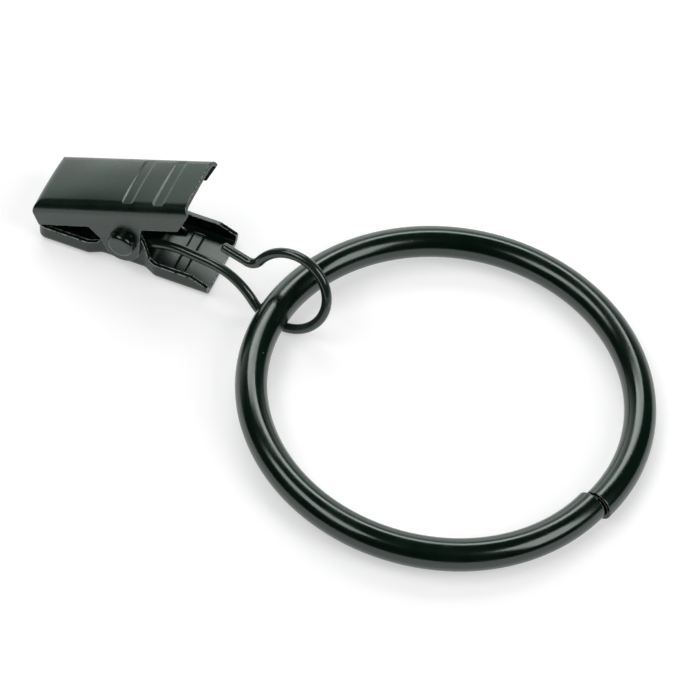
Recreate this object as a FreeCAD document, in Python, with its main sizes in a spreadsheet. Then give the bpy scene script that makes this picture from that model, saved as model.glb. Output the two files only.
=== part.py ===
"""Curtain ring with clip: a tube ring, a wire eyelet and a sprung two-jaw clip, lying on a table.

Millimetres and degrees. The origin is the ring's centre. +X runs along the clip towards the ring,
+Y is square to it in the table's plane and +Z points up. The ring leans on the eyelet's wire, the
clip lies on its lower jaw, and the eyelet leans to one side between them.
"""
import FreeCAD, Part
import math
import os
import Sketcher

Vector = FreeCAD.Vector
Rotation = FreeCAD.Rotation
Placement = FreeCAD.Placement

# Driving dimensions, one row of the sheet for each
DIMENSIONS = {
    # Ring
    "ring_inside_diameter": 50.8,
    "tube_diameter": 4.6,
    "tube_wall": 0.6,
    "ring_end_gap": 0.6,
    "ring_end_sweep": 50.0,
    "ring_end_tightening": 1.7,
    "ring_joint_azimuth": -19.5,
    # Eyelet, one bent wire
    "wire_diameter": 1.4,
    "eyelet_azimuth": 170.0,
    "eyelet_lean": 20.0,
    "eyelet_turn": -6.2,
    "loop_radius": 6.0,
    "loop_foot_radius": 7.5,
    "loop_reach": 25.7,
    "tube_seat_angle": 256.0,
    "tube_seat_gap": 0.45,
    "loop_table_gap": 0.02,
    "leg_drop": 0.6,
    "leg_bend_radius": 12.0,
    "neck_radius": 12.0,
    "eye_pin_gap": 0.35,
    "eye_ear_gap": 0.2,
    "eye_end_angle": 20.0,
    "kink_angle": 156.0,
    "kink_radius": 1.2,
    "tail_length": 4.7,
    "tail_rise": 8.7,
    # Sheet metal of both jaws
    "sheet_thickness": 0.65,
    "bend_radius": 0.55,
    "ear_gap": 0.1,
    "lip_gap": 0.05,
    # Upper jaw, measured from the pin's axis
    "upper_width": 11.3,
    "upper_angle": 23.0,
    "upper_rise": 6.5,
    "upper_bend_radius": 1.0,
    "upper_front": 13.55,
    "upper_back": 12.75,
    "upper_ear_radius": 2.8,
    "upper_ear_forward": 0.95,
    "upper_ear_drop": 1.35,
    "upper_ear_slope": 25.6,
    "upper_ear_shoulder": 0.25,
    "upper_ear_front_foot": 4.95,
    "upper_flange_edge": 2.3,
    "upper_flange_front_edge": 2.55,
    "upper_handle_cut": 2.65,
    "upper_handle_cut_rise": 2.7,
    # Lower jaw, measured from the pin's axis and the table
    "lower_width": 11.7,
    "lower_front": 13.7,
    "lower_back": 13.35,
    "pin_height": 5.95,
    "lower_ear_radius": 2.5,
    "lower_ear_slope": 21.3,
    "lower_flange_height": 2.95,
    "lower_ear_front_foot": 4.3,
    "lower_ear_back_foot": 3.85,
    "lower_handle_cut": 2.7,
    "lower_handle_cut_drop": 1.2,
    "lower_handle_round": 1.5,
    "waist_front_inset": 0.65,
    "waist_back_inset": 0.8,
    "waist_run": 1.9,
    "waist_easing": 0.3,
    # Grip grooves pressed across both handles
    "groove_near": 2.75,
    "groove_far": 7.95,
    "groove_width": 2.0,
    "groove_flank": 0.35,
    "groove_near_depth": 0.1,
    "groove_far_depth": 0.15,
    # Pivot pin
    "pin_diameter": 4.0,
    "pin_proud": 1.45,
    "pin_rounding": 0.6,
    "pin_running_gap": 0.05,
    # Torsion spring on the pin
    "spring_wire": 0.8,
    "spring_pin_gap": 0.3,
    "spring_pitch": 0.84,
    "spring_turns": 3.0,
    "spring_leg_reach": 6.0,
    "spring_seat_gap": 0.05,
    "spring_side": 0.6,
}


class Size:
    """A number together with the sheet expression that it comes from."""

    def __init__(self, value, text):
        self.value = float(value)
        self.text = text

    @staticmethod
    def of(thing):
        """Takes a Size as it is and turns a plain number into one."""
        if isinstance(thing, Size):
            return thing
        return Size(thing, repr(float(thing)))

    def __add__(self, other):
        other = Size.of(other)
        return Size(self.value + other.value, f"({self.text} + {other.text})")

    def __sub__(self, other):
        other = Size.of(other)
        return Size(self.value - other.value, f"({self.text} - {other.text})")

    def __mul__(self, other):
        other = Size.of(other)
        return Size(self.value * other.value, f"({self.text} * {other.text})")

    def __truediv__(self, other):
        other = Size.of(other)
        return Size(self.value / other.value, f"({self.text} / {other.text})")

    def __neg__(self):
        return Size(-self.value, f"(0 - {self.text})")

    def cosine(self):
        """The cosine of an angle in degrees."""
        return Size(math.cos(math.radians(self.value)), f"cos({self.text} * 1 deg)")

    def sine(self):
        """The sine of an angle in degrees."""
        return Size(math.sin(math.radians(self.value)), f"sin({self.text} * 1 deg)")


class Sizes:
    """Reads the sheet's cells as Size values by their names."""

    def __init__(self, sheet):
        self.sheet = sheet

    def __getattr__(self, name):
        return Size(getattr(self.sheet, name), f"{self.sheet.Name}.{name}")


def make_sheet(doc):
    """Writes the driving dimensions into a sheet, a name and a number on each row."""
    sheet = doc.addObject("Spreadsheet::Sheet", "dims")
    for row, (name, value) in enumerate(DIMENSIONS.items(), start=1):
        sheet.set(f"A{row}", name)
        sheet.set(f"B{row}", str(value))
        sheet.setAlias(f"B{row}", name)
    doc.recompute()
    return sheet


def make_body(doc, label):
    """Adds an empty body."""
    body = doc.addObject("PartDesign::Body", label)
    body.Label = label
    return body


def make_sketch(body, name, plane, raised=None):
    """Adds a sketch on one of the body's own origin planes, lifted along its normal by a Size."""
    sketch = body.newObject("Sketcher::SketchObject", name)
    planes = {feature.Role: feature for feature in body.Origin.OriginFeatures}
    sketch.AttachmentSupport = [(planes[plane], "")]
    sketch.MapMode = "FlatFace"
    if raised is not None:
        sketch.setExpression(".AttachmentOffset.Base.z", raised.text)
    return sketch


def drive(sketch, kind, reference, size):
    """Adds one dimension to a sketch and binds it to the sheet."""
    index = sketch.addConstraint(Sketcher.Constraint(kind, *reference, size.value))
    sketch.setExpression(f"Constraints[{index}]", size.text)


def add_polygon(sketch, corners):
    """Draws a closed outline through corners, each a pair of Size values from the sketch's origin."""
    points = [Vector(x.value, y.value, 0) for x, y in corners]
    first = sketch.GeometryCount
    count = len(points)
    for i in range(count):
        sketch.addGeometry(Part.LineSegment(points[i], points[(i + 1) % count]), False)
    for i in range(count):
        here, following = first + i, first + (i + 1) % count
        sketch.addConstraint(Sketcher.Constraint("Coincident", here, 2, following, 1))
    for i, (x, y) in enumerate(corners):
        drive(sketch, "DistanceX", (-1, 1, first + i, 1), x)
        drive(sketch, "DistanceY", (-1, 1, first + i, 1), y)


def add_circle(sketch, x, y, radius):
    """Draws a circle at a place given as Size values."""
    circle = Part.Circle(Vector(x.value, y.value, 0), Vector(0, 0, 1), radius.value)
    index = sketch.addGeometry(circle, False)
    drive(sketch, "DistanceX", (-1, 1, index, 3), x)
    drive(sketch, "DistanceY", (-1, 1, index, 3), y)
    drive(sketch, "Radius", (index,), radius)


def pad_across(body, name, sketch, width):
    """Pads a sketch to both sides of its plane."""
    pad = body.newObject("PartDesign::Pad", name)
    pad.Profile = sketch
    pad.SideType = "Symmetric"
    pad.setExpression("Length", width.text)
    return pad


def pocket_across(body, name, sketch, width):
    """Cuts a sketch to both sides of its plane."""
    pocket = body.newObject("PartDesign::Pocket", name)
    pocket.Profile = sketch
    pocket.SideType = "Symmetric"
    pocket.Type = "Length"
    pocket.setExpression("Length", width.text)
    return pocket


def pocket_through(body, name, sketch, upward):
    """Cuts a sketch through the body, up or down from its plane."""
    pocket = body.newObject("PartDesign::Pocket", name)
    pocket.Profile = sketch
    pocket.Type = "ThroughAll"
    pocket.Reversed = upward
    return pocket


def round_edges(body, name, base, radius, wanted):
    """Rounds those edges of a feature for which a test on the edge's middle and direction holds."""
    body.Document.recompute()
    names = []
    for number, edge in enumerate(base.Shape.Edges, start=1):
        ends = [edge.valueAt(edge.FirstParameter), edge.valueAt(edge.LastParameter)]
        middle = edge.valueAt((edge.FirstParameter + edge.LastParameter) / 2)
        along = ends[1] - ends[0]
        if along.Length > 1e-6:
            along.normalize()
        if wanted(middle, along):
            names.append(f"Edge{number}")
    fillet = body.newObject("PartDesign::Fillet", name)
    fillet.Base = (base, names)
    fillet.setExpression("Radius", radius.text)
    return fillet


def near(first, second):
    """Says whether two lengths are the same to a thousandth of a millimetre."""
    return abs(first - second) < 1e-3


def add_groove_outlines(sketch, d, level, sign):
    """Draws the section of both grip grooves, from a level down or up, wider at the level."""
    half = d.groove_width / 2
    for centre, depth in ((d.groove_near, d.groove_near_depth), (d.groove_far, d.groove_far_depth)):
        add_polygon(sketch, [
            (centre - half, level),
            (centre - half + d.groove_flank, level + depth * sign),
            (centre + half - d.groove_flank, level + depth * sign),
            (centre + half, level),
        ])


def make_ring(doc, d):
    """The ring: a tube along one wide arc and a tighter last stretch, from end to butted end.

    The path starts at the joint, on the body's own +X axis, and goes round anticlockwise.
    """
    body = make_body(doc, "ring")
    radius = (d.ring_inside_diameter + d.tube_diameter) / 2
    tight = radius - d.ring_end_tightening
    turn = 2 * math.pi - math.radians(d.ring_end_sweep.value)
    end = 2 * math.pi - d.ring_end_gap.value / radius.value
    hub = Vector(math.cos(turn), math.sin(turn), 0) * d.ring_end_tightening.value

    path = make_sketch(body, "ring_path", "XY_Plane")
    wide = Part.ArcOfCircle(Part.Circle(Vector(), Vector(0, 0, 1), radius.value), 0, turn)
    last = Part.ArcOfCircle(Part.Circle(hub, Vector(0, 0, 1), tight.value), turn, end)
    path.addGeometry(wide, False)
    path.addGeometry(last, False)
    path.addConstraint(Sketcher.Constraint("Coincident", 0, 3, -1, 1))
    path.addConstraint(Sketcher.Constraint("PointOnObject", 0, 1, -1))
    path.addConstraint(Sketcher.Constraint("Tangent", 0, 2, 1, 1))
    drive(path, "Radius", (0,), radius)
    drive(path, "Radius", (1,), tight)
    drive(path, "DistanceX", (-1, 1, 0, 2), radius * d.ring_end_sweep.cosine())
    drive(path, "DistanceY", (1, 2, 0, 1), d.ring_end_gap)

    section = make_sketch(body, "ring_section", "XZ_Plane")
    outer = d.tube_diameter / 2
    add_circle(section, radius, Size.of(0), outer)
    add_circle(section, radius, Size.of(0), outer - d.tube_wall)

    pipe = body.newObject("PartDesign::AdditivePipe", "ring_tube")
    pipe.Profile = section
    pipe.Spine = path
    return body


def eyelet_path(d):
    """Works out the eyelet's centre line in its own plane, from the eye's open end to the tail.

    The pin's axis is the origin. The eye turns round it, a neck leads into a level leg, an arch
    bends down into the loop's foot, the loop goes round the tube and a kink starts the tail.
    """
    eye = eye_radius(d)
    neck = d.neck_radius.value
    drop = -d.leg_drop.value
    arch = d.leg_bend_radius.value
    loop = d.loop_radius.value
    foot = d.loop_foot_radius.value
    kink = d.kink_radius.value

    neck_rise = drop - neck
    neck_hub = Vector(math.sqrt((eye + neck) ** 2 - neck_rise ** 2), neck_rise, 0)
    loop_hub = loop_centre(d)
    foot_hub = loop_hub + Vector(0, foot - loop, 0)
    arch_rise = foot_hub.y - (drop - arch)
    arch_hub = Vector(foot_hub.x - math.sqrt((arch + foot) ** 2 - arch_rise ** 2), drop - arch, 0)
    kink_out = polar(1.0, d.kink_angle.value)
    kink_hub = loop_hub + kink_out * (loop + kink)
    tail_way = polar(1.0, 180 - d.tail_rise.value)
    tail_start = kink_hub + Vector(-tail_way.y, tail_way.x, 0) * kink

    eye_join = neck_hub * (eye / (eye + neck))
    foot_join = arch_hub + (foot_hub - arch_hub) * (arch / (arch + foot))
    return [
        arc_between(Vector(), eye, polar(eye, d.eye_end_angle.value), eye_join, True),
        arc_between(neck_hub, neck, eye_join, neck_hub + Vector(0, neck, 0), False),
        Part.LineSegment(neck_hub + Vector(0, neck, 0), arch_hub + Vector(0, arch, 0)),
        arc_between(arch_hub, arch, arch_hub + Vector(0, arch, 0), foot_join, False),
        arc_between(foot_hub, foot, foot_join, foot_hub - Vector(0, foot, 0), True),
        arc_between(loop_hub, loop, loop_hub - Vector(0, loop, 0), loop_hub + kink_out * loop, True),
        arc_between(kink_hub, kink, loop_hub + kink_out * loop, tail_start, False),
        Part.LineSegment(tail_start, tail_start + tail_way * d.tail_length.value),
    ]


def polar(radius, degrees):
    """A point in the plane at a distance and an angle."""
    angle = math.radians(degrees)
    return Vector(radius * math.cos(angle), radius * math.sin(angle), 0)


def arc_between(hub, radius, start, end, anticlockwise):
    """An arc about a hub from one point to another; the geometry itself always runs anticlockwise."""
    first = math.atan2(start.y - hub.y, start.x - hub.x)
    last = math.atan2(end.y - hub.y, end.x - hub.x)
    circle = Part.Circle(hub, Vector(0, 0, 1), radius)
    if anticlockwise:
        return Part.ArcOfCircle(circle, first, last)
    return Part.ArcOfCircle(circle, last, first)


def eyelet_slant(d):
    """How far the eyelet's plane stands off square to the pin, as an angle in radians."""
    lean = math.radians(d.eyelet_lean.value)
    turn = math.radians(d.eyelet_turn.value)
    return math.acos(math.cos(lean) * math.cos(turn))


def eye_radius(d):
    """The eye's centre line radius, wide enough for the pin to pass through it at the slant."""
    clear = (d.pin_diameter.value + d.wire_diameter.value) / 2 + d.eye_pin_gap.value
    return clear / math.cos(eyelet_slant(d))


def loop_centre(d):
    """The loop's centre in the eyelet's plane, low enough for the loop to lie on the table."""
    lean = math.cos(math.radians(d.eyelet_lean.value))
    lowest = d.wire_diameter.value / 2 + d.loop_table_gap.value - d.pin_height.value
    return Vector(d.loop_reach.value, lowest / lean + d.loop_radius.value, 0)


def tube_seat(d):
    """The tube's centre in the eyelet's plane, where it lies in the loop."""
    room = d.loop_radius.value - d.wire_diameter.value / 2
    reach = room - d.tube_diameter.value / 2 - d.tube_seat_gap.value
    return loop_centre(d) + polar(reach, d.tube_seat_angle.value)


def make_eyelet(doc, d):
    """The eyelet: one round wire along the path, drawn in the body's XZ plane."""
    body = make_body(doc, "eyelet")
    path = make_sketch(body, "eyelet_path", "XZ_Plane")
    pieces = eyelet_path(d)
    for piece in pieces:
        path.addGeometry(piece, False)
    eye, neck, leg, arch, foot, loop, kink, tail = range(len(pieces))
    joins = [(eye, 2, neck, 2), (neck, 1, leg, 1), (leg, 2, arch, 2), (arch, 1, foot, 1)]
    joins += [(foot, 2, loop, 1), (loop, 2, kink, 2), (kink, 1, tail, 1)]
    for join in joins:
        path.addConstraint(Sketcher.Constraint("Tangent", *join))
    path.addConstraint(Sketcher.Constraint("Coincident", eye, 3, -1, 1))
    path.addConstraint(Sketcher.Constraint("Horizontal", leg))
    drive(path, "DistanceY", (-1, 1, leg, 1), -d.leg_drop)
    drive(path, "Radius", (neck,), d.neck_radius)
    drive(path, "Radius", (arch,), d.leg_bend_radius)
    drive(path, "Radius", (foot,), d.loop_foot_radius)
    drive(path, "Radius", (loop,), d.loop_radius)
    drive(path, "Radius", (kink,), d.kink_radius)
    drive(path, "DistanceX", (-1, 1, loop, 3), d.loop_reach)
    drive(path, "DistanceX", (-1, 1, loop, 1), d.loop_reach)
    drive(path, "Distance", (tail,), d.tail_length)

    start = pieces[eye].StartPoint
    section = make_sketch(body, "eyelet_section", "XY_Plane")
    section.AttachmentOffset = Placement(
        Vector(start.x, 0, start.y),
        Rotation(Vector(0, 1, 0), -d.eye_end_angle.value),
    )
    add_circle(section, Size.of(0), Size.of(0), d.wire_diameter / 2)

    pipe = body.newObject("PartDesign::AdditivePipe", "eyelet_wire")
    pipe.Profile = section
    pipe.Spine = path
    return body


def upper_outline(d):
    """The upper jaw's side outline; the ears' round ends are added to it.

    An ear's back edge is a slope that touches its round end.
    """
    slope_x = d.upper_ear_slope.cosine()
    slope_z = d.upper_ear_slope.sine()
    touch_x = d.upper_ear_radius * slope_x - d.upper_ear_forward
    touch_z = -d.upper_ear_radius * slope_z - d.upper_ear_drop
    back_foot = touch_x + (d.upper_flange_edge - touch_z) * slope_z / slope_x
    front = -d.upper_ear_forward - d.upper_ear_radius
    return [
        (-d.upper_front, d.upper_rise),
        (d.upper_back, d.upper_rise),
        (d.upper_back, d.upper_flange_edge + d.upper_handle_cut_rise),
        (d.upper_back - d.upper_handle_cut, d.upper_flange_edge),
        (back_foot, d.upper_flange_edge),
        (touch_x, touch_z),
        (front, -d.upper_ear_drop),
        (front, d.upper_ear_shoulder),
        (-d.upper_ear_front_foot, d.upper_flange_front_edge),
        (-d.upper_front, d.upper_flange_front_edge),
    ]


def make_upper_jaw(doc, d):
    """The upper jaw, in a frame on the pin's axis with +X along the handle and +Z out of its top."""
    body = make_body(doc, "upper_jaw")
    half = d.upper_width / 2
    side = make_sketch(body, "upper_side", "XZ_Plane")
    add_polygon(side, upper_outline(d))
    pad_across(body, "upper_block", side, d.upper_width)
    ear = make_sketch(body, "upper_ear", "XZ_Plane")
    add_circle(ear, -d.upper_ear_forward, -d.upper_ear_drop, d.upper_ear_radius)
    block = pad_across(body, "upper_ears", ear, d.upper_width)

    def top_edge(middle, along):
        return near(middle.z, d.upper_rise.value) and not near(middle.x, d.upper_back.value)

    round_edges(body, "upper_bends", block, d.upper_bend_radius + d.sheet_thickness, top_edge)

    under = d.upper_rise - d.sheet_thickness
    hollow = make_sketch(body, "upper_inside", "XY_Plane", under)
    inner = half - d.sheet_thickness
    open_end = d.upper_back + d.upper_width
    add_polygon(hollow, [
        (d.sheet_thickness - d.upper_front, -inner),
        (open_end, -inner),
        (open_end, inner),
        (d.sheet_thickness - d.upper_front, inner),
    ])
    cavity = pocket_through(body, "upper_cavity", hollow, False)

    def inner_corner(middle, along):
        return near(middle.z, under.value) and not near(middle.x, d.upper_back.value)

    round_edges(body, "upper_inner_bends", cavity, d.upper_bend_radius, inner_corner)

    grooves = make_sketch(body, "upper_grooves", "XZ_Plane")
    add_groove_outlines(grooves, d, d.upper_rise, -1)
    pocket_across(body, "upper_groove_cuts", grooves, d.upper_width)
    ridges = make_sketch(body, "upper_ridges", "XZ_Plane")
    add_groove_outlines(ridges, d, under, -1)
    pad_across(body, "upper_groove_backs", ridges, inner * 2)

    bore = make_sketch(body, "upper_pin_hole", "XZ_Plane")
    add_circle(bore, Size.of(0), Size.of(0), d.pin_diameter / 2 + d.pin_running_gap)
    pocket_across(body, "upper_pin_holes", bore, d.upper_width)
    return body


def lower_outline(d):
    """The lower jaw's side outline with its ears up to where their round tops start."""
    ear_x = d.lower_ear_radius * d.lower_ear_slope.cosine()
    ear_z = d.pin_height + d.lower_ear_radius * d.lower_ear_slope.sine()
    return [
        (-d.lower_front, Size.of(0)),
        (d.lower_back, Size.of(0)),
        (d.lower_back, d.lower_flange_height - d.lower_handle_cut_drop),
        (d.lower_back - d.lower_handle_cut, d.lower_flange_height),
        (d.lower_ear_back_foot, d.lower_flange_height),
        (ear_x, ear_z),
        (-ear_x, ear_z),
        (-d.lower_ear_front_foot, d.lower_flange_height),
        (-d.lower_front, lip_height(d)),
    ]


def lip_height(d):
    """The lower lip's height, just under the upper lip's lowest corner with the jaws closed."""
    fall = d.upper_front * d.upper_angle.sine()
    rise = d.upper_flange_front_edge * d.upper_angle.cosine()
    return d.pin_height - fall + rise - d.lip_gap


def ear_half_width(d):
    """Half the width over the lower jaw's ears, which stand inside the upper jaw's."""
    return d.upper_width / 2 - d.sheet_thickness - d.ear_gap


def waist_stations(d, wide, narrow):
    """The joggled side of the lower jaw, as corners from the front to the back of its waist."""
    front = d.waist_front_inset - d.lower_ear_front_foot
    back = d.lower_ear_back_foot - d.waist_back_inset
    return [
        (front - d.waist_run, wide),
        (front, narrow),
        (back, narrow),
        (back + d.waist_run, wide),
    ]


def make_lower_jaw(doc, d):
    """The lower jaw, in a frame on the table under the pin's axis with +X along the handle."""
    body = make_body(doc, "lower_jaw")
    half = d.lower_width / 2
    narrow = ear_half_width(d)
    side = make_sketch(body, "lower_side", "XZ_Plane")
    add_polygon(side, lower_outline(d))
    block = pad_across(body, "lower_block", side, d.lower_width)
    cut = d.lower_back - d.lower_handle_cut

    def handle_corner(middle, along):
        return near(middle.x, cut.value) and near(middle.z, d.lower_flange_height.value)

    round_edges(body, "lower_handle_corners", block, d.lower_handle_round, handle_corner)
    ear = make_sketch(body, "lower_ear", "XZ_Plane")
    add_circle(ear, Size.of(0), d.pin_height, d.lower_ear_radius)
    pad_across(body, "lower_ears", ear, d.lower_width)

    waist = make_sketch(body, "lower_waist", "XY_Plane")
    stations = waist_stations(d, half, narrow)
    outside = [(stations[-1][0], d.lower_width), (stations[0][0], d.lower_width)]
    for sign in (1, -1):
        add_polygon(waist, [(x, y * sign) for x, y in stations + outside])
    joggled = pocket_through(body, "lower_joggles", waist, True)

    corner_x = [x.value for x, _ in stations]
    outer_bend = d.bend_radius + d.sheet_thickness
    easing = outer_bend + d.waist_easing

    def waist_corner(middle, along):
        return near(abs(along.z), 1) and any(near(middle.x, x) for x in corner_x)

    eased = round_edges(body, "lower_joggle_bends", joggled, easing, waist_corner)

    def upright_at(middle, along, x, y):
        return near(abs(along.z), 1) and near(middle.x, x.value) and near(abs(middle.y), y.value)

    def bottom_edge(middle, along):
        bottom = near(middle.z, 0) and not near(middle.x, d.lower_back.value)
        return bottom or upright_at(middle, along, -d.lower_front, half)

    round_edges(body, "lower_bends", eased, outer_bend, bottom_edge)

    floor = make_sketch(body, "lower_inside", "XY_Plane", d.sheet_thickness)
    inner = half - d.sheet_thickness
    lip = d.sheet_thickness - d.lower_front
    open_end = d.lower_back + d.lower_width
    inside = waist_stations(d, inner, narrow - d.sheet_thickness)
    far_side = [(lip, inner)] + inside + [(open_end, inner)]
    near_side = [(x, -y) for x, y in reversed(far_side)]
    add_polygon(floor, far_side + near_side)
    cavity = pocket_through(body, "lower_cavity", floor, True)

    def inner_waist_corner(middle, along):
        inside_wall = abs(middle.y) < inner.value + d.sheet_thickness.value / 2
        return inside_wall and waist_corner(middle, along)

    opened = round_edges(body, "lower_inner_joggles", cavity, easing, inner_waist_corner)

    def inner_corner(middle, along):
        bottom = near(middle.z, d.sheet_thickness.value) and not near(middle.x, d.lower_back.value)
        return bottom or upright_at(middle, along, lip, inner)

    round_edges(body, "lower_inner_bends", opened, d.bend_radius, inner_corner)

    grooves = make_sketch(body, "lower_grooves", "XZ_Plane")
    add_groove_outlines(grooves, d, Size.of(0), 1)
    pocket_across(body, "lower_groove_cuts", grooves, d.lower_width)
    ridges = make_sketch(body, "lower_ridges", "XZ_Plane")
    add_groove_outlines(ridges, d, d.sheet_thickness, 1)
    pad_across(body, "lower_groove_backs", ridges, (narrow - d.sheet_thickness) * 2)

    bore = make_sketch(body, "lower_pin_hole", "XZ_Plane")
    add_circle(bore, Size.of(0), d.pin_height, d.pin_diameter / 2)
    pocket_across(body, "lower_pin_holes", bore, d.lower_width)
    return body


def make_pivot_pin(doc, d):
    """The pivot pin along Y, with rounded ends that stand proud of the upper jaw's ears."""
    body = make_body(doc, "pivot_pin")
    section = make_sketch(body, "pin_section", "XZ_Plane")
    add_circle(section, Size.of(0), Size.of(0), d.pin_diameter / 2)
    shank = pad_across(body, "pin_shank", section, d.upper_width + d.pin_proud * 2)

    def end_rim(middle, along):
        return abs(middle.y) > d.upper_width.value / 2

    round_edges(body, "pin_ends", shank, d.pin_rounding, end_rim)
    return body


def make_torsion_spring(doc, d):
    """The torsion spring: two straight legs and the coil between them, about the pin's axis.

    One leg leans on the inside of the upper jaw's top, the other on the lower jaw's floor. Both
    leave the coil along its own slope, so the wire has no kink.
    """
    wire = d.spring_wire.value
    coil = d.pin_diameter.value / 2 + d.spring_pin_gap.value + wire / 2
    reach = d.spring_leg_reach.value
    seat = d.sheet_thickness.value + d.spring_seat_gap.value + wire / 2
    tilt = Rotation(Vector(0, 1, 0), -d.upper_angle.value)
    upper_tip = tilt.multVec(Vector(reach, 0, d.upper_rise.value - seat))
    lower_tip = Vector(reach, 0, seat - d.pin_height.value)

    def leave(tip, sign):
        """The angle on the coil at which a straight leg to a tip touches it."""
        aim = math.atan2(tip.z, tip.x)
        return aim + sign * math.acos(coil / math.hypot(tip.x, tip.z))

    start = leave(upper_tip, 1)
    stop = leave(lower_tip, -1) + 2 * math.pi * (d.spring_turns.value + 1)
    pitch = d.spring_pitch.value
    slope = pitch / (2 * math.pi * coil)

    def on_coil(angle):
        """A point of the coil's centre line."""
        climb = d.spring_side.value + pitch * (angle - start) / (2 * math.pi)
        return Vector(coil * math.cos(angle), climb, coil * math.sin(angle))

    def leg_end(tip, angle, sign):
        """A leg's far end, level with its tip and carried along by the coil's slope."""
        root = on_coil(angle)
        run = math.hypot(tip.x - root.x, tip.z - root.z)
        return Vector(tip.x, root.y + sign * slope * run, tip.z)

    turns = (stop - start) / (2 * math.pi)
    helix = Part.makeHelix(pitch, pitch * turns, coil)
    upright = Rotation(Vector(1, 0, 0), -90)
    spin = Rotation(Vector(0, 1, 0), -math.degrees(start))
    mirror = FreeCAD.Matrix()
    mirror.scale(Vector(1, 1, -1))
    turned = helix.transformGeometry(mirror * upright.toMatrix())
    turned.Placement = Placement(Vector(0, d.spring_side.value, 0), spin)
    upper_leg = Part.makeLine(leg_end(upper_tip, start, -1), on_coil(start))
    lower_leg = Part.makeLine(on_coil(stop), leg_end(lower_tip, stop, 1))
    spine = Part.Wire([upper_leg] + turned.Edges + [lower_leg])
    heading = on_coil(start) - leg_end(upper_tip, start, -1)
    section = Part.Wire(Part.makeCircle(wire / 2, leg_end(upper_tip, start, -1), heading))
    feature = doc.addObject("Part::Feature", "torsion_spring")
    feature.Label = "torsion_spring"
    feature.Shape = spine.makePipeShell([section], True, True)
    return feature


def place(parts, d):
    """Sets every piece in its place: the ring at the origin, then the eyelet and the clip by it.

    Returns the points that the joints turn about.
    """
    radius = (d.ring_inside_diameter.value + d.tube_diameter.value) / 2
    tube = d.tube_diameter.value / 2
    lean = math.radians(d.eyelet_lean.value)
    azimuth = math.radians(d.eyelet_azimuth.value)
    seat = tube_seat(d)

    # The ring lies on the table at one side and on the eyelet's wire at the other
    lifted = d.pin_height.value + seat.y * math.cos(lean) - tube
    tilt = math.degrees(math.asin(lifted / (radius * (1 - math.cos(azimuth)))))
    tip_over = Rotation(Vector(0, 1, 0), tilt)
    parts["ring"].Placement = Placement(
        Vector(),
        tip_over * Rotation(Vector(0, 0, 1), d.ring_joint_azimuth.value),
    )
    table = -tube * math.cos(math.radians(tilt)) - radius * math.sin(math.radians(tilt))

    # The eyelet's plane turns about Z and leans over its own long leg
    slanted = Rotation(Vector(0, 0, 1), d.eyelet_turn.value) * Rotation(Vector(1, 0, 0), -d.eyelet_lean.value)
    crossing = tip_over.multVec(polar(radius, d.eyelet_azimuth.value))
    eye = crossing - slanted.multVec(Vector(seat.x, 0, seat.y))
    eye.z = table + d.pin_height.value
    parts["eyelet"].Placement = Placement(eye, slanted)

    # The clip's middle plane lies beside the eye, which stays clear of one ear
    swing = eye_radius(d) * math.sin(eyelet_slant(d)) + d.wire_diameter.value / 2
    ear_face = ear_half_width(d).value - d.sheet_thickness.value
    middle = eye.y + ear_face - d.eye_ear_gap.value - swing
    pin = Vector(eye.x, middle, eye.z)
    parts["pivot_pin"].Placement = Placement(pin, Rotation())
    parts["torsion_spring"].Placement = Placement(pin, Rotation())
    raised = Rotation(Vector(0, 1, 0), -d.upper_angle.value)
    parts["upper_jaw"].Placement = Placement(pin, raised)
    parts["lower_jaw"].Placement = Placement(Vector(pin.x, pin.y, table), Rotation())
    return {"table": Vector(0, 0, table), "pin": pin, "tube in the loop": crossing, "eye": eye}


def check(doc, parts):
    """Stops if any object failed to build or any piece isn't one sound solid."""
    for thing in doc.Objects:
        if "Invalid" in thing.State or "Error" in thing.State:
            raise RuntimeError(f"{thing.Label} failed to build: {thing.State}")
    for label, part in parts.items():
        shape = part.Shape
        if shape.isNull() or not shape.isValid() or len(shape.Solids) != 1:
            raise RuntimeError(f"{label} is not one valid solid")


def main():
    """Builds the document and writes each piece's shape under its own name."""
    doc = FreeCAD.newDocument("curtain_ring_with_clip")
    d = Sizes(make_sheet(doc))
    makers = [make_ring, make_eyelet, make_upper_jaw, make_lower_jaw, make_pivot_pin, make_torsion_spring]
    made = [maker(doc, d) for maker in makers]
    parts = {part.Label: part for part in made}
    doc.recompute()
    points = place(parts, d)
    doc.recompute()
    check(doc, parts)
    os.makedirs("parts", exist_ok=True)
    for label, part in parts.items():
        part.Shape.exportStep(f"parts/{label}.step")
        box = part.Shape.BoundBox
        print(f"{label}: volume {part.Shape.Volume:.2f} mm3, z {box.ZMin:.3f} to {box.ZMax:.3f}")
    for name, point in points.items():
        print(f"{name} at {point.x:.4f}, {point.y:.4f}, {point.z:.4f}")


main()
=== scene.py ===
"""Looks of a curtain ring with clip: baked enamel on its steel pieces, and its bare spring.

The ring, the pin and the lower jaw are the CAD pieces with paint on them. The eyelet, the upper
jaw and the spring are built here in place of theirs. A small studio and a camera follow.
"""

import logging
import math
from dataclasses import dataclass, field
from enum import Enum
from typing import Any

import bmesh
import bpy
import numpy as np
from mathutils import Matrix, Vector


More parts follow.
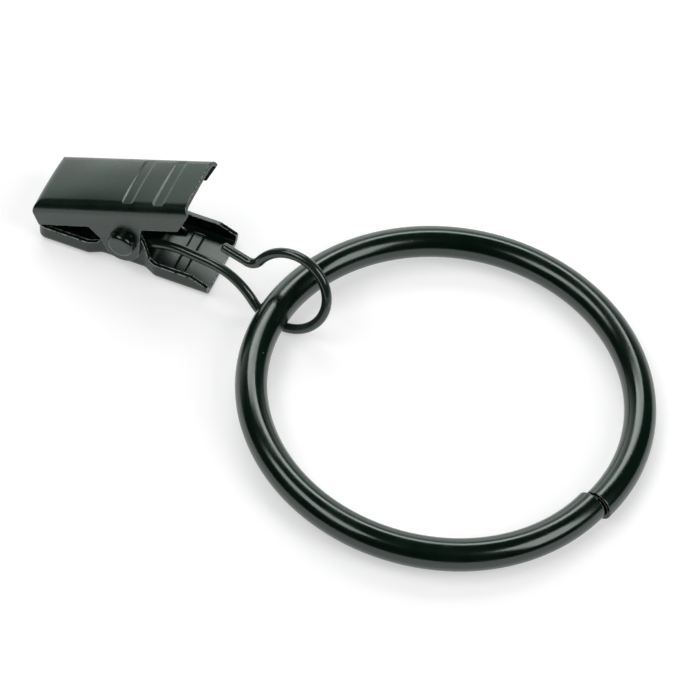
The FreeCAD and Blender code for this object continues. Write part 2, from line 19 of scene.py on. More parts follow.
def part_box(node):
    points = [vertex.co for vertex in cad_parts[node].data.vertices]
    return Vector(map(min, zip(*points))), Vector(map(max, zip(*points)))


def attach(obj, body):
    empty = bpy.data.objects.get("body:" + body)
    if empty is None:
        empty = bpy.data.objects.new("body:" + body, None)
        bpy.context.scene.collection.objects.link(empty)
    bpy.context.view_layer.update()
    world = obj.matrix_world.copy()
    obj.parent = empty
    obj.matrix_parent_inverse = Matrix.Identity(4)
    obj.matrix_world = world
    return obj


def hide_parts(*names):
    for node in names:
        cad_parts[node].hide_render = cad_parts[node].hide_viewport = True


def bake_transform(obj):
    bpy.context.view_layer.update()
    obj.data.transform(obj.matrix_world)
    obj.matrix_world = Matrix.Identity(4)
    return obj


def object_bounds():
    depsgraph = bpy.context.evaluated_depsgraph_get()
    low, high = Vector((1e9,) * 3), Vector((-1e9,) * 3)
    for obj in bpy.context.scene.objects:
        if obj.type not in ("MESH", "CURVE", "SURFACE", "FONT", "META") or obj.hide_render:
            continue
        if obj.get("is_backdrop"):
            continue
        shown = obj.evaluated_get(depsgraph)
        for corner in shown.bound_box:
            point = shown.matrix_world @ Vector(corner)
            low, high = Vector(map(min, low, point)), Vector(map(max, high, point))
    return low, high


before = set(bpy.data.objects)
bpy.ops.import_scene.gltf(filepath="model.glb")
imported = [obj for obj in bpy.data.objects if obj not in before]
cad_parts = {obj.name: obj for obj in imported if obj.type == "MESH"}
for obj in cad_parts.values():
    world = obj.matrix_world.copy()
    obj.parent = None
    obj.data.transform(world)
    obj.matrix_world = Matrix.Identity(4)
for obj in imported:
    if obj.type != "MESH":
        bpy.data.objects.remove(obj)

LOG = logging.getLogger("curtain_ring")
MM = 0.001
WIRE_UV = "along_wire"
PIN_AXIS = np.array([0.0, 1.0, 0.0])
PHOTO_PIXELS = 700
SENSOR_WIDTH = 36.0


def linear(hex_colour: str) -> tuple[float, float, float, float]:
    """Turns an sRGB hex colour into linear red, green, blue and full alpha.

    Args:
        hex_colour: Six hex digits after a hash sign.

    Returns:
        The linear colour, by the sRGB curve: a straight foot and a power of 2.4 above it.
    """
    coded = np.array([int(hex_colour[i : i + 2], 16) / 255 for i in (1, 3, 5)])
    plain = np.where(coded <= 0.04045, coded / 12.92, ((coded + 0.055) / 1.055) ** 2.4)
    return (*(float(part) for part in plain), 1.0)


def add_node(
    tree: bpy.types.NodeTree,
    kind: str,
    inputs: dict[str | int, Any] | None = None,
    **settings: Any,
) -> bpy.types.Node:
    """Adds one shader node with its settings and links.

    Args:
        tree: The node tree that takes the node.
        kind: The node's type name.
        inputs: A value, or an output socket to link, for each input by name or number.
        **settings: Settings of the node itself.

    Returns:
        The new node.
    """
    node = tree.nodes.new(kind)
    for name, value in settings.items():
        setattr(node, name, value)
    for name, value in (inputs or {}).items():
        if isinstance(value, bpy.types.NodeSocket):
            tree.links.new(value, node.inputs[name])
        else:
            node.inputs[name].default_value = value
    return node


def empty_material(name: str) -> tuple[bpy.types.Material, bpy.types.NodeTree]:
    """Makes a material with an empty node tree.

    Args:
        name: The material's name.

    Returns:
        The material and its node tree.
    """
    material = bpy.data.materials.new(name)
    material.use_nodes = True
    material.node_tree.nodes.clear()
    return material, material.node_tree


def cover(piece: bpy.types.Object, material: bpy.types.Material) -> None:
    """Puts one material on every slot of a piece.

    Args:
        piece: The piece to cover.
        material: Its material.
    """
    if not piece.material_slots:
        piece.data.materials.append(material)
    for slot in piece.material_slots:
        slot.material = material


@dataclass(frozen=True)
class CoatLook:
    """What sets one coat of the enamel apart: its gloss, its film's colours and its bare edges with a
    painted glint.

    Near-white lines, partly steel where the film draws back and partly a painted glint, begin to show
    where the likeness of the rounded normal to the face's own falls to edge_from, and show fully at
    edge_full. A noise breaks that line up: the line is gone where the noise is at patch_from or
    below, and whole where it is at patch_full or above.
    """

    smooth: float
    dull: float
    ior: float = 1.7
    deep: str = "#030E09"
    thin: str = "#081A12"
    edge_from: float = 0.94
    edge_full: float = 0.80
    patch_from: float = 0.42
    patch_full: float = 0.62


class Coat(Enum):
    """How the enamel came out: glossy on drawn tube and wire, duller on stamped sheet.

    On the lower jaw it also drew back from the sheared edges, which carry a stronger painted glint,
    and on the wire its colour is lifted to grey as a painted reflection.
    """

    GLOSSY = CoatLook(smooth=0.14, dull=0.22)
    SATIN = CoatLook(smooth=0.22, dull=0.30)
    # Its edges carry a stronger painted glint as well as bare steel
    THIN_EDGED_WITH_GLINT = CoatLook(
        smooth=0.22,
        dull=0.30,
        ior=1.55,
        edge_from=0.985,
        edge_full=0.93,
        patch_from=0.36,
        patch_full=0.50,
    )
    # The wire's film colours are lifted to grey: a painted reflection that stands in for the wire's
    # brighter gloss
    THIN = CoatLook(smooth=0.14, dull=0.22, deep="#18211C", thin="#2B352F")


@dataclass(frozen=True)
class BakedEnamel:
    """Black baked enamel, sprayed on steel: a near-black skin with a faint green cast.

    The eye sees soft reflections broken by the skin's slow swell (orange peel), a few
    dust nibs caught in the paint and a slightly thinner, greyer film here and there.
    A nib's size is a share of the nibs' spacing, and its relief a share of the peel's height.
    """

    coat: Coat
    nib: str = "#6A706B"
    # Near-white edge colour: partly bare steel, partly a painted glint
    bare_edge_and_glint: str = "#D2D6D1"
    sheen: str = "#F0FFF7"
    cloud_spacing: float = 5.0 * MM
    cloud_detail: float = 3.0
    cloud_low: float = 0.3
    cloud_high: float = 0.7
    peel_spacing: float = 0.9 * MM
    peel_detail: float = 1.0
    peel_height: float = 0.004 * MM
    nib_spacing: float = 3.6 * MM
    nib_size: float = 0.035
    nib_relief: float = 0.6
    edge_rounding: float = 0.2 * MM
    edge_samples: int = 8
    wear_spacing: float = 0.5 * MM
    wear_detail: float = 2.0

    def material(self) -> bpy.types.Material:
        """Builds the enamel as a shader.

        Returns:
            A material whose colour, gloss and relief vary with the place on the piece.
        """
        look = self.coat.value
        material, tree = empty_material(f"baked_enamel_on_steel_{self.coat.name.lower()}")
        place = add_node(tree, "ShaderNodeTexCoord").outputs["Object"]
        cloud = add_node(
            tree,
            "ShaderNodeTexNoise",
            {"Vector": place, "Scale": 1 / self.cloud_spacing, "Detail": self.cloud_detail},
        ).outputs["Fac"]
        peel = add_node(
            tree,
            "ShaderNodeTexNoise",
            {"Vector": place, "Scale": 1 / self.peel_spacing, "Detail": self.peel_detail},
        ).outputs["Fac"]
        nib_distance = add_node(
            tree,
            "ShaderNodeTexVoronoi",
            {"Vector": place, "Scale": 1 / self.nib_spacing},
        ).outputs["Distance"]
        nib = add_node(
            tree,
            "ShaderNodeMapRange",
            {"Value": nib_distance, "From Min": self.nib_size, "From Max": self.nib_size / 2},
        ).outputs["Result"]
        film = add_node(
            tree,
            "ShaderNodeMix",
            {0: cloud, 6: linear(look.deep), 7: linear(look.thin)},
            data_type="RGBA",
        ).outputs[2]
        colour = add_node(
            tree,
            "ShaderNodeMix",
            {0: nib, 6: film, 7: linear(self.nib)},
            data_type="RGBA",
        ).outputs[2]
        rounded = add_node(
            tree,
            "ShaderNodeBevel",
            {"Radius": self.edge_rounding},
            samples=self.edge_samples,
        ).outputs["Normal"]
        roughness = add_node(
            tree,
            "ShaderNodeMapRange",
            {
                "Value": cloud,
                "From Min": self.cloud_low,
                "From Max": self.cloud_high,
                "To Min": look.smooth,
                "To Max": look.dull,
            },
        ).outputs["Result"]
        relief = add_node(
            tree,
            "ShaderNodeMath",
            {0: nib, 1: self.nib_relief, 2: peel},
            operation="MULTIPLY_ADD",
        ).outputs["Value"]
        normal = add_node(
            tree,
            "ShaderNodeBump",
            {"Height": relief, "Normal": rounded, "Distance": self.peel_height, "Strength": 1.0},
        ).outputs["Normal"]
        skin = add_node(
            tree,
            "ShaderNodeBsdfPrincipled",
            {
                "Base Color": self.add_bare_and_glinting_edges(tree, place, rounded, colour),
                "Roughness": roughness,
                "Normal": normal,
                "IOR": look.ior,
                "Specular Tint": linear(self.sheen),
            },
        )
        add_node(tree, "ShaderNodeOutputMaterial", {"Surface": skin.outputs["BSDF"]})
        return material

    def add_bare_and_glinting_edges(
        self,
        tree: bpy.types.NodeTree,
        place: bpy.types.NodeSocket,
        rounded: bpy.types.NodeSocket,
        colour: bpy.types.NodeSocket,
    ) -> bpy.types.NodeSocket:
        """Paints broken near-white lines on sharp edges: partly steel where the film draws back,
        partly a painted glint.

        The edge is where the rounded normal leaves the face's own, and a noise breaks the line up.

        Args:
            tree: The enamel's node tree.
            place: The place on the piece.
            rounded: The normal with the edges rounded.
            colour: The enamel's colour.

        Returns:
            The colour with the bare edges and their painted glint in it.
        """
        look = self.coat.value
        own = add_node(tree, "ShaderNodeNewGeometry").outputs["Normal"]
        likeness = add_node(
            tree, "ShaderNodeVectorMath", {0: own, 1: rounded}, operation="DOT_PRODUCT"
        ).outputs["Value"]
        edge = add_node(
            tree,
            "ShaderNodeMapRange",
            {"Value": likeness, "From Min": look.edge_from, "From Max": look.edge_full},
        ).outputs["Result"]
        patches = add_node(
            tree,
            "ShaderNodeTexNoise",
            {"Vector": place, "Scale": 1 / self.wear_spacing, "Detail": self.wear_detail},
        ).outputs["Fac"]
        broken = add_node(
            tree,
            "ShaderNodeMapRange",
            {"Value": patches, "From Min": look.patch_from, "From Max": look.patch_full},
        ).outputs["Result"]
        share = add_node(
            tree, "ShaderNodeMath", {0: edge, 1: broken}, operation="MULTIPLY"
        ).outputs["Value"]
        # Mixes in the edge colour: bare steel with a painted glint
        return add_node(
            tree,
            "ShaderNodeMix",
            {0: share, 6: colour, 7: linear(self.bare_edge_and_glint)},
            data_type="RGBA",
        ).outputs[2]


@dataclass(frozen=True)
class SpringSteel:
    """Drawn spring wire, oil-blackened: a dark metal with long, thin draw lines along it.

    The eye sees a dull grey gleam that runs along each turn of the coil. The lines are drawn
    coarser than real ones, so that they show: draw_lines of them go round the wire, each
    changing line_run times along it.
    """

    bare: str = "#7C7B77"
    oxide: str = "#3A3937"
    smooth: float = 0.28
    dull: float = 0.42
    draw_lines: int = 14
    line_run: float = 6.0
    line_detail: float = 2.0
    line_height: float = 0.004 * MM

    def material(self) -> bpy.types.Material:
        """Builds the wire's metal, with its lines read from the wire's own UV map.

        Returns:
            A metal whose colour and gloss run in lines along the wire.
        """
        material, tree = empty_material("oil_blackened_spring_steel")
        along = add_node(tree, "ShaderNodeUVMap", uv_map=WIRE_UV).outputs["UV"]
        stretched = add_node(
            tree,
            "ShaderNodeMapping",
            {"Vector": along, "Scale": (self.line_run, self.draw_lines, 1.0)},
        ).outputs["Vector"]
        lines = add_node(
            tree,
            "ShaderNodeTexNoise",
            {"Vector": stretched, "Scale": 1.0, "Detail": self.line_detail},
        ).outputs["Fac"]
        colour = add_node(
            tree,
            "ShaderNodeMix",
            {0: lines, 6: linear(self.oxide), 7: linear(self.bare)},
            data_type="RGBA",
        ).outputs[2]
        roughness = add_node(
            tree,
            "ShaderNodeMapRange",
            {"Value": lines, "To Min": self.dull, "To Max": self.smooth},
        ).outputs["Result"]
        normal = add_node(
            tree, "ShaderNodeBump", {"Height": lines, "Distance": self.line_height}
        ).outputs["Normal"]
        metal = add_node(
            tree,
            "ShaderNodeBsdfPrincipled",
            {"Base Color": colour, "Metallic": 1.0, "Roughness": roughness, "Normal": normal},
        )
        add_node(tree, "ShaderNodeOutputMaterial", {"Surface": metal.outputs["BSDF"]})
        return material


def pin_middle() -> np.ndarray:
    """The middle of the pivot pin, from the frame."""
    low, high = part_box("pivot_pin")
    return (np.array(low) + np.array(high)) / 2


def sweep_wire(
    name: str, path: np.ndarray, across: np.ndarray, radius: np.ndarray, sides: int
) -> bpy.types.Object:
    """Carries a circle along a path and closes both ends.

    At each point of the path the circle stands on two axes square to the path's tangent: the
    given direction made square to it, and the tangent crossed with that. A point is the path
    plus the radius there times the cosine of the angle on the one and its sine on the other.

    Args:
        name: The piece's name.
        path: The wire's centre line, one row a point.
        across: A direction that is nowhere along the path.
        radius: The wire's radius at each point.
        sides: Points round the circle.

    Returns:
        The wire, with a UV map that runs along it and round it.
    """
    tangent = np.gradient(path, axis=0)
    tangent /= np.linalg.norm(tangent, axis=1, keepdims=True)
    first = across - tangent * (tangent @ across)[:, None]
    first /= np.linalg.norm(first, axis=1, keepdims=True)
    second = np.cross(tangent, first)
    angle = np.linspace(0, 2 * math.pi, sides, endpoint=False)
    points = path[:, None, :] + radius[:, None, None] * (
        np.cos(angle)[None, :, None] * first[:, None, :]
        + np.sin(angle)[None, :, None] * second[:, None, :]
    )
    rows = len(path)
    number = np.arange(rows * sides).reshape(rows, sides)
    ahead = np.roll(number, -1, axis=1)
    quads = np.stack([number[:-1], ahead[:-1], ahead[1:], number[1:]], axis=-1).reshape(-1, 4)
    caps = [number[0, ::-1].tolist(), number[-1].tolist()]
    mesh = bpy.data.meshes.new(name)
    mesh.from_pydata(points.reshape(-1, 3).tolist(), [], quads.tolist() + caps)
    smooth = np.ones(len(mesh.polygons), bool)
    smooth[-len(caps) :] = False
    mesh.polygons.foreach_set("use_smooth", smooth)
    corners = np.empty(len(mesh.loops), int)
    mesh.loops.foreach_get("vertex_index", corners)
    uv = np.column_stack([corners // sides / rows, corners % sides / sides])
    mesh.uv_layers.new(name=WIRE_UV).data.foreach_set("uv", uv.ravel())
    mesh.update()
    wire = bpy.data.objects.new(name, mesh)
    bpy.context.scene.collection.objects.link(wire)
    return wire


@dataclass
class WireEyelet:
    """The eyelet: one bent wire with an eye on the pin, a loop round the tube and a short tail.

    Sizes are in metres and radians, in the eyelet's own plane, whose origin is on the pin. The
    film is the paint's thickness on the wire.
    """

    wire: float = 1.4 * MM
    film: float = 0.04 * MM
    turn: float = math.radians(-6.2)
    lean: float = math.radians(-20.0)
    pin: float = 4.0 * MM
    pin_gap: float = 0.35 * MM
    ear_face: float = 4.25 * MM
    ear_gap: float = 0.2 * MM
    eye_start: float = math.radians(20.0)
    leg_drop: float = 0.6 * MM
    neck_radius: float = 12.0 * MM
    arch_radius: float = 12.0 * MM
    foot_radius: float = 7.5 * MM
    loop_radius: float = 6.0 * MM
    loop_reach: float = 25.7 * MM
    table_gap: float = 0.02 * MM
    kink_radius: float = 1.8 * MM
    kink_angle: float = math.radians(153.2)
    tail_angle: float = math.radians(171.3)
    tail_length: float = 4.22 * MM
    tip_rounding: float = 0.4 * MM
    tip_points: int = 6
    step: float = 0.15 * MM
    wire_sides: int = 24

    def slant(self) -> float:
        """The angle by which the eyelet's plane stands off square to the pin."""
        return math.acos(math.cos(self.lean) * math.cos(self.turn))

    def eye_radius(self) -> float:
        """The eye's radius, wide enough for the pin to pass through it at the slant."""
        return ((self.pin + self.wire) / 2 + self.pin_gap) / math.cos(self.slant())

    def eye_side(self) -> float:
        """How far along the pin the eye lies from the pin's middle, beside the near ear."""
        swing = self.eye_radius() * math.sin(self.slant()) + self.wire / 2
        return swing + self.ear_gap - self.ear_face

    def loop_hub(self) -> complex:
        """Works out the loop's centre, low enough for the loop to lie on the table.

        Returns:
            The centre in the eyelet's plane.
        """
        pin_height = pin_middle()[2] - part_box("lower_jaw")[0][2]
        lowest = (self.wire / 2 + self.table_gap - pin_height) / math.cos(self.lean)
        return complex(self.loop_reach, lowest + self.loop_radius)

    def arc(self, hub: complex, radius: float, first: float, last: float) -> np.ndarray:
        """Points about a hub from one angle to another, without the last one."""
        count = math.ceil(abs(last - first) * radius / self.step)
        return hub + radius * np.exp(1j * np.linspace(first, last, count, endpoint=False))

    def line(self, start: complex, end: complex) -> np.ndarray:
        """Points from one point to another, without the last one."""
        return np.linspace(start, end, math.ceil(abs(end - start) / self.step), endpoint=False)

    def plan(self) -> np.ndarray:
        """Works out the centre line in the eyelet's plane, as complex numbers.

        It is a chain of arcs and lines, each touching the next: the eye round the pin, a neck,
        a level leg, an arch, the loop's wider foot, the loop, a kink the other way, the tail.
        Where two arcs that bend opposite ways touch, their hubs are their radii's sum apart.

        Returns:
            Points from the eye's open end to the tail's tip.
        """
        quarter, half, whole = math.pi / 2, math.pi, 2 * math.pi
        eye_radius, loop_hub = self.eye_radius(), self.loop_hub()
        rise = -self.leg_drop - self.neck_radius
        neck = complex(math.sqrt((eye_radius + self.neck_radius) ** 2 - rise**2), rise)
        foot = loop_hub + 1j * (self.foot_radius - self.loop_radius)
        level = -self.leg_drop - self.arch_radius
        reach = math.sqrt((self.arch_radius + self.foot_radius) ** 2 - (foot.imag - level) ** 2)
        arch = complex(foot.real - reach, level)
        neck_angle, foot_angle = np.angle(neck), np.angle(foot - arch)
        kink = loop_hub + (self.loop_radius + self.kink_radius) * np.exp(1j * self.kink_angle)
        kink_start, kink_end = self.kink_angle + half, self.tail_angle + quarter
        tail = kink + self.kink_radius * np.exp(1j * kink_end)
        tail_way = np.exp(1j * self.tail_angle)
        tip = tail + self.tail_length * tail_way
        rounding = np.linspace(0, quarter, self.tip_points)
        rim = tip - self.tip_rounding * (1 - np.sin(rounding)) * tail_way
        return np.concatenate(
            [
                self.arc(0, eye_radius, self.eye_start, neck_angle + whole),
                self.arc(neck, self.neck_radius, neck_angle + half, quarter),
                self.line(neck + 1j * self.neck_radius, arch + 1j * self.arch_radius),
                self.arc(arch, self.arch_radius, quarter, foot_angle),
                self.arc(foot, self.foot_radius, foot_angle - half, -quarter),
                self.arc(loop_hub, self.loop_radius, -quarter, self.kink_angle),
                self.arc(kink, self.kink_radius, kink_start, kink_end),
                self.line(tail, rim[0]),
                rim,
            ]
        )

    def build(self) -> bpy.types.Object:
        """Leans and turns the plan into place and carries the wire's circle along it.

        The radius is the wire's and its film's, and follows a quarter circle into the tip.

        Returns:
            The eyelet.
        """
        plan = self.plan()
        lean = np.array(Matrix.Rotation(self.lean, 3, "X"))
        placed = np.array(Matrix.Rotation(self.turn, 3, "Z")) @ lean
        flat = np.column_stack([plan.real, np.zeros(len(plan)), plan.imag])
        path = flat @ placed.T + pin_middle() + PIN_AXIS * self.eye_side()
        left = np.abs(plan - plan[-1])
        # Only the tail's own end is rounded
        left[: len(left) // 2] = self.tip_rounding
        short = self.tip_rounding - np.minimum(left, self.tip_rounding)
        full = self.wire / 2 + self.film
        radius = full - self.tip_rounding + np.sqrt(self.tip_rounding**2 - short**2)
        return sweep_wire("eyelet_wire", path, placed @ PIN_AXIS, radius, self.wire_sides)

    def dress(self, enamel: bpy.types.Material) -> None:
        """Builds the eyelet in place of its CAD solid and paints it.

        Args:
            enamel: The wire's paint.
        """
        eyelet = self.build()
        cover(eyelet, enamel)
        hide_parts("eyelet")
        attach(eyelet, "eyelet")
        LOG.info("%s: %d faces", eyelet.name, len(eyelet.data.polygons))


@dataclass
class PaintedGroup:
    """The steel pieces that share one coat of enamel as they are."""

    nodes: tuple[str, ...]

    def dress(self, enamel: bpy.types.Material) -> None:
        """Puts the enamel on each of the group's pieces.

        Args:
            enamel: The group's paint.
        """
        for name in self.nodes:
            cover(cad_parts[name], enamel)
            LOG.info("%s: %s", name, enamel.name)


@dataclass
class CrownedJaw:
    """The upper jaw, whose top the press leaves gently crowned between its two bends.

    Sizes are in metres, on the jaw's own axes: along it, across it as the pin lies, and up
    from the pin. The crest's place and reach are shares of the jaw's length.
    """

    node: str = "upper_jaw"
    tilt: float = math.radians(23.0)
    flat_half_width: float = 4.65 * MM
    crown: float = 0.34 * MM
    crown_power: float = 2.5
    end_share: float = 0.3
    crest: float = 0.4
    crest_reach: float = 0.3
    rise_from: float = 3.0 * MM
    rise_full: float = 5.8 * MM
    cuts_across: int = 18
    cuts_along: int = 16
    merge_distance: float = 0.0001 * MM
    sharp_from: float = math.radians(12.0)

    def axes(self) -> np.ndarray:
        """The jaw's axes along, across and up, one row each."""
        level, steep = math.cos(self.tilt), math.sin(self.tilt)
        return np.array([[level, 0.0, steep], PIN_AXIS, [-steep, 0.0, level]])

    def cut_mesh(self) -> bpy.types.Mesh:
        """Copies the jaw's CAD mesh, merged and cut into a grid of strips that can be bent.

        Returns:
            The copy, with the CAD mesh's own shape.
        """
        shell = bmesh.new()
        shell.from_mesh(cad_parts[self.node].data)
        bmesh.ops.remove_doubles(shell, verts=shell.verts, dist=self.merge_distance)
        middle, (along, across, _) = pin_middle(), self.axes()
        low, high = (np.array(corner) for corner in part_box(self.node))
        reach = np.linalg.norm(high - low) / 2
        half = self.flat_half_width
        planes = [(along, shift) for shift in np.linspace(-reach, reach, self.cuts_along)]
        planes += [(across, shift) for shift in np.linspace(-half, half, self.cuts_across)]
        for direction, shift in planes:
            bmesh.ops.bisect_plane(
                shell,
                geom=[*shell.verts, *shell.edges, *shell.faces],
                plane_co=middle + direction * shift,
                plane_no=direction,
            )
        bmesh.ops.triangulate(shell, faces=shell.faces)
        mesh = bpy.data.meshes.new("upper_jaw_crowned")
        shell.to_mesh(mesh)
        shell.free()
        return mesh

    def build(self) -> bpy.types.Object:
        """Raises the top of the cut mesh into its crown.

        The rise is the crown's height, times one less a power of the share of the way from the
        middle to a bend, times a bell along the jaw that keeps a share at both ends, times a
        ramp that leaves what lies below the top where it is.

        Returns:
            The crowned jaw.
        """
        mesh = self.cut_mesh()
        points = np.empty(len(mesh.vertices) * 3)
        mesh.vertices.foreach_get("co", points)
        points = points.reshape(-1, 3)
        axes = self.axes()
        along, across, up = ((points - pin_middle()) @ axes.T).T
        sideways = np.clip(np.abs(across) / self.flat_half_width, 0, 1)
        place = (along - along.min()) / np.ptp(along)
        bell = np.exp(-(((place - self.crest) / self.crest_reach) ** 2))
        ramp = np.clip((up - self.rise_from) / (self.rise_full - self.rise_from), 0, 1)
        rise = self.crown * (1 - sideways**self.crown_power) * ramp
        rise *= self.end_share + (1 - self.end_share) * bell
        points += rise[:, None] * axes[2]
        mesh.vertices.foreach_set("co", points.ravel())
        # The CAD mesh's own shading no longer fits the crown
        for name in ("custom_normal", "sharp_face"):
            if name in mesh.attributes:
                mesh.attributes.remove(mesh.attributes[name])
        mesh.polygons.foreach_set("use_smooth", np.ones(len(mesh.polygons), bool))
        mesh.set_sharp_from_angle(angle=self.sharp_from)
        mesh.update()
        jaw = bpy.data.objects.new("upper_jaw_crowned", mesh)
        bpy.context.scene.collection.objects.link(jaw)
        return jaw

    def dress(self, enamel: bpy.types.Material) -> None:
        """Builds the crowned jaw in place of its CAD solid and paints it.

        Args:
            enamel: The jaw's paint.
        """
        jaw = self.build()
        cover(jaw, enamel)
        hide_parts(self.node)
        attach(jaw, self.node)
        LOG.info("%s: %d faces", jaw.name, len(jaw.data.polygons))


@dataclass
class TorsionSpring:
    """The coil round the pivot pin, whose legs lean on the insides of the two handles.

    Sizes are in metres. The coil turns about the pin, and each tip is given along its jaw and
    up from the pin.
    """

    wire: float = 0.8 * MM
    coil_radius: float = 2.7 * MM
    pitch: float = 0.84 * MM
    turns: int = 3
    side: float = 0.6 * MM
    upper_tip: tuple[float, float] = (6.0 * MM, 5.4 * MM)
    upper_tilt: float = math.radians(23.0)
    lower_tip: tuple[float, float] = (6.0 * MM, -4.85 * MM)
    path_steps: int = 72
    leg_steps: int = 8
    wire_sides: int = 20

    def path(self) -> np.ndarray:
        """Works out the wire's centre line about the pivot.

        The coil is a helix: x and z go round the pin at the coil's radius while y climbs by
        one pitch a turn. Each leg leaves it along its tangent, at the angle whose cosine from
        the tip is the coil's radius over the tip's distance, and keeps the helix's slope.

        Returns:
            Points from the upper leg's tip to the lower leg's, one row each.
        """
        level, steep = math.cos(self.upper_tilt), math.sin(self.upper_tilt)
        upper = np.array([[level, -steep], [steep, level]]) @ np.array(self.upper_tip)
        lower = np.array(self.lower_tip)
        start = self.leave_angle(upper, 1)
        stop = self.leave_angle(lower, -1) + 2 * math.pi * (self.turns + 1)
        angle = np.linspace(start, stop, self.path_steps * (self.turns + 1))
        climb = self.side + self.pitch * (angle - start) / (2 * math.pi)
        coil = np.column_stack(
            [self.coil_radius * np.cos(angle), climb, self.coil_radius * np.sin(angle)]
        )
        upper_leg = self.leg(upper, coil[0], -1)[:-1]
        lower_leg = self.leg(lower, coil[-1], 1)[-2::-1]
        return np.vstack([upper_leg, coil, lower_leg]) + pin_middle()

    def leave_angle(self, tip: np.ndarray, sign: int) -> float:
        """The angle on the coil at which a straight leg to a tip touches it."""
        return math.atan2(tip[1], tip[0]) + sign * math.acos(self.coil_radius / np.hypot(*tip))

    def leg(self, tip: np.ndarray, root: np.ndarray, sign: int) -> np.ndarray:
        """Works out a straight leg from its tip to its root, along the coil's slope.

        Args:
            tip: The tip's x and z.
            root: The point of the coil where the leg begins.
            sign: 1 where the leg goes on up the slope, -1 where it comes down to it.

        Returns:
            Points from the tip to the root.
        """
        slope = self.pitch / (2 * math.pi * self.coil_radius)
        run = np.hypot(tip[0] - root[0], tip[1] - root[2])
        end = np.array([tip[0], root[1] + sign * slope * run, tip[1]])
        share = np.linspace(0, 1, self.leg_steps)[:, None]
        return end + share * (root - end)

    def build(self) -> bpy.types.Object:
        """Carries the wire's circle along the path.

        Returns:
            The spring.
        """
        path = self.path()
        radius = np.full(len(path), self.wire / 2)
        return sweep_wire("torsion_spring_wire", path, PIN_AXIS, radius, self.wire_sides)

    def dress(self, steel: SpringSteel) -> None:
        """Builds the spring in place of its CAD solid and bends it between the two jaws.

        Args:
            steel: The wire's finish.
        """
        spring = self.build()
        cover(spring, steel.material())
        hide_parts("torsion_spring")
        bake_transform(spring)
        LOG.info("%s: %d faces", spring.name, len(spring.data.polygons))


@dataclass(frozen=True)
class Softbox:
    """A rectangular lamp that faces the object: angles in degrees, lengths in metres.

    The azimuth runs from +Y towards +X.
    """

    name: str
    azimuth: float
    elevation: float
    width: float
    height: float
    radiance: float
    distance: float = 1.0
    seen_in_gloss: bool = True

    def build(self, target: Vector) -> None:
        """Hangs the lamp at its azimuth and elevation, with the power that its radiance needs.

        The power is four times the radiance times the lamp's area.

        Args:
            target: The point that the lamp faces.
        """
        side, lift = math.radians(self.azimuth), math.radians(self.elevation)
        toward = Vector(
            (math.sin(side) * math.cos(lift), math.cos(side) * math.cos(lift), math.sin(lift))
        )
        data = bpy.data.lights.new(self.name, "AREA")
        data.shape = "RECTANGLE"
        data.size, data.size_y = self.width, self.height
        data.energy = 4 * self.radiance * self.width * self.height
        lamp = bpy.data.objects.new(self.name, data)
        lamp.location = target + toward * self.distance
        lamp.rotation_euler = toward.to_track_quat("Z", "Y").to_euler()
        lamp.visible_glossy = self.seen_in_gloss
        bpy.context.scene.collection.objects.link(lamp)


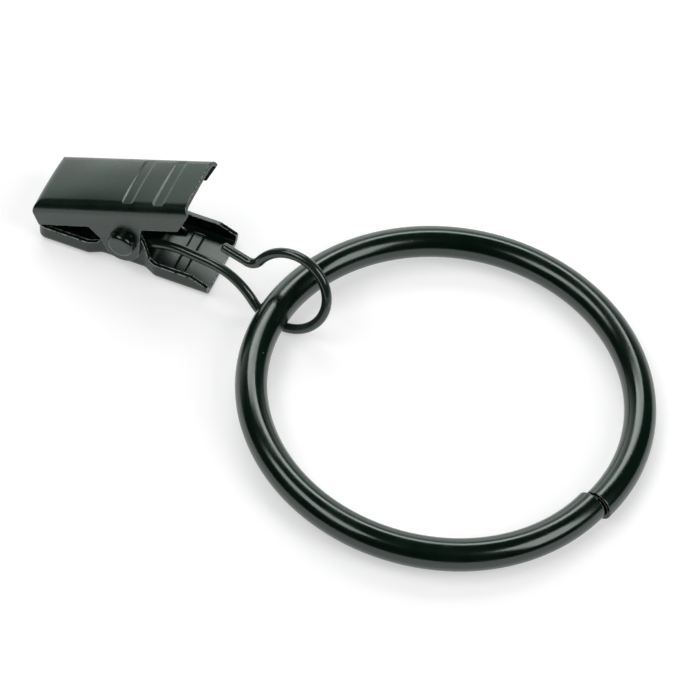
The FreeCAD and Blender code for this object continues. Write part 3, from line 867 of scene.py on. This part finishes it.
@dataclass
class Studio:
    """A white table, soft lamps behind it, on both sides and above, and a room.

    The room is pale in the wall's direction and dim elsewhere. Between wall_from and wall_full,
    cosines of the angle from that direction, the one fades into the other.
    """

    table_colour: str = "#D0D0D0"
    table_lift: float = 0.48
    table_size: float = 3.0
    back_wall: str = "#F4FFF8"
    dim_room: str = "#1E2422"
    wall_direction: tuple[float, float, float] = (-0.45, 0.83, -0.33)
    wall_from: float = 0.40
    wall_full: float = 0.86
    wall_strength: float = 1.75
    lamps: tuple[Softbox, ...] = (
        Softbox("back_strip", azimuth=-24.0, elevation=49.0, width=0.72, height=0.22, radiance=3.9),
        Softbox("side_window", azimuth=95.0, elevation=42.0, width=0.50, height=0.60, radiance=2.8),
        Softbox("left_window", azimuth=-128.0, elevation=58.0, width=0.74, height=0.32, radiance=2.9),
        Softbox(
            "overhead_fill",
            azimuth=-60.0,
            elevation=75.0,
            width=0.9,
            height=0.9,
            radiance=1.0,
            distance=1.1,
            seen_in_gloss=False,
        ),
    )

    def build(self) -> None:
        """Builds the table, the lamps and the room's own light."""
        low, high = (Vector(corner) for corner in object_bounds())
        middle = (low + high) / 2
        self.build_table(low.z)
        for lamp in self.lamps:
            lamp.build(middle)
        self.build_room()
        bpy.context.scene.view_settings.view_transform = "Standard"

    def build_table(self, height: float) -> None:
        """Lays the table under the object.

        Its paper is lifted to white where the camera, a gloss or a glass sees it, and lights
        the object only as much as its own colour does.

        Args:
            height: The height of the table's top.
        """
        half = self.table_size / 2
        corners = [(-half, -half), (half, -half), (half, half), (-half, half)]
        mesh = bpy.data.meshes.new("table_top")
        mesh.from_pydata([(x, y, height) for x, y in corners], [], [(0, 1, 2, 3)])
        table = bpy.data.objects.new("table_top", mesh)
        bpy.context.scene.collection.objects.link(table)
        material, tree = empty_material("matt_white_table")
        paper = add_node(
            tree, "ShaderNodeBsdfDiffuse", {"Color": linear(self.table_colour)}
        ).outputs["BSDF"]
        light_path = add_node(tree, "ShaderNodeLightPath").outputs
        seen = light_path["Is Camera Ray"]
        for ray in ("Is Glossy Ray", "Is Transmission Ray"):
            seen = add_node(
                tree, "ShaderNodeMath", {0: seen, 1: light_path[ray]}, operation="MAXIMUM"
            ).outputs["Value"]
        lift = add_node(
            tree, "ShaderNodeMath", {0: seen, 1: self.table_lift}, operation="MULTIPLY"
        ).outputs["Value"]
        glow = add_node(tree, "ShaderNodeEmission", {"Strength": lift}).outputs["Emission"]
        both = add_node(tree, "ShaderNodeAddShader", {0: paper, 1: glow}).outputs["Shader"]
        add_node(tree, "ShaderNodeOutputMaterial", {"Surface": both})
        cover(table, material)
        table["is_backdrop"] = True

    def build_room(self) -> None:
        """Lights the room: pale behind the table, dim in front of it and overhead."""
        world = bpy.data.worlds.new("room")
        world.use_nodes = True
        tree = world.node_tree
        tree.nodes.clear()
        direction = add_node(tree, "ShaderNodeTexCoord").outputs["Generated"]
        behind = add_node(
            tree,
            "ShaderNodeVectorMath",
            {0: direction, 1: self.wall_direction},
            operation="DOT_PRODUCT",
        ).outputs["Value"]
        share = add_node(
            tree,
            "ShaderNodeMapRange",
            {"Value": behind, "From Min": self.wall_from, "From Max": self.wall_full},
        ).outputs["Result"]
        strength = add_node(
            tree,
            "ShaderNodeMapRange",
            {"Value": share, "To Min": 1.0, "To Max": self.wall_strength},
        ).outputs["Result"]
        colour = add_node(
            tree,
            "ShaderNodeMix",
            {0: share, 6: linear(self.dim_room), 7: linear(self.back_wall)},
            data_type="RGBA",
        ).outputs[2]
        air = add_node(tree, "ShaderNodeBackground", {"Color": colour, "Strength": strength})
        add_node(tree, "ShaderNodeOutputWorld", {"Surface": air.outputs["Background"]})
        bpy.context.scene.world = world


@dataclass
class PhotoCamera:
    """The camera of the photograph: where it looks, from where, its turn and its lens.

    The azimuth runs from -Y towards +X, and the lens is given in pixels of the photograph.
    """

    target: Vector = field(default_factory=lambda: Vector((-16.09, 3.95, -3.13)) * MM)
    azimuth: float = math.radians(17.8)
    elevation: float = math.radians(51.6)
    roll: float = math.radians(5.0)
    distance: float = 500.0 * MM
    focal_pixels: float = 3473.0
    clip_near: float = 0.01
    clip_far: float = 20.0

    def build(self) -> None:
        """Places the camera and makes it the scene's own."""
        back = Vector(
            (
                math.sin(self.azimuth) * math.cos(self.elevation),
                -math.cos(self.azimuth) * math.cos(self.elevation),
                math.sin(self.elevation),
            )
        )
        right = Vector((math.cos(self.azimuth), math.sin(self.azimuth), 0.0))
        up = back.cross(right)
        turned_right = right * math.cos(self.roll) + up * math.sin(self.roll)
        turned_up = up * math.cos(self.roll) - right * math.sin(self.roll)
        axes = Matrix((turned_right, turned_up, back)).transposed()
        data = bpy.data.cameras.new("photo_camera")
        data.sensor_fit = "HORIZONTAL"
        data.sensor_width = SENSOR_WIDTH
        data.lens = self.focal_pixels / PHOTO_PIXELS * SENSOR_WIDTH
        data.clip_start, data.clip_end = self.clip_near, self.clip_far
        camera = bpy.data.objects.new("photo_camera", data)
        place = Matrix.Translation(self.target + back * self.distance)
        camera.matrix_world = place @ axes.to_4x4()
        bpy.context.scene.collection.objects.link(camera)
        bpy.context.scene.camera = camera


def main() -> None:
    """Dresses and builds the pieces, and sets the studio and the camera."""
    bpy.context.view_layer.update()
    glossy, satin, thin_edged_with_glint, thin = (BakedEnamel(coat).material() for coat in Coat)
    PaintedGroup(("ring", "pivot_pin")).dress(glossy)
    # The wire's enamel is greyer than the ring's: a painted reflection
    WireEyelet().dress(thin)
    # The lower jaw's edges carry the stronger painted glint
    PaintedGroup(("lower_jaw",)).dress(thin_edged_with_glint)
    CrownedJaw().dress(satin)
    TorsionSpring().dress(SpringSteel())
    Studio().build()
    PhotoCamera().build()


if __name__ == "__main__":
    logging.basicConfig(level=logging.INFO, format="%(message)s")
    main()
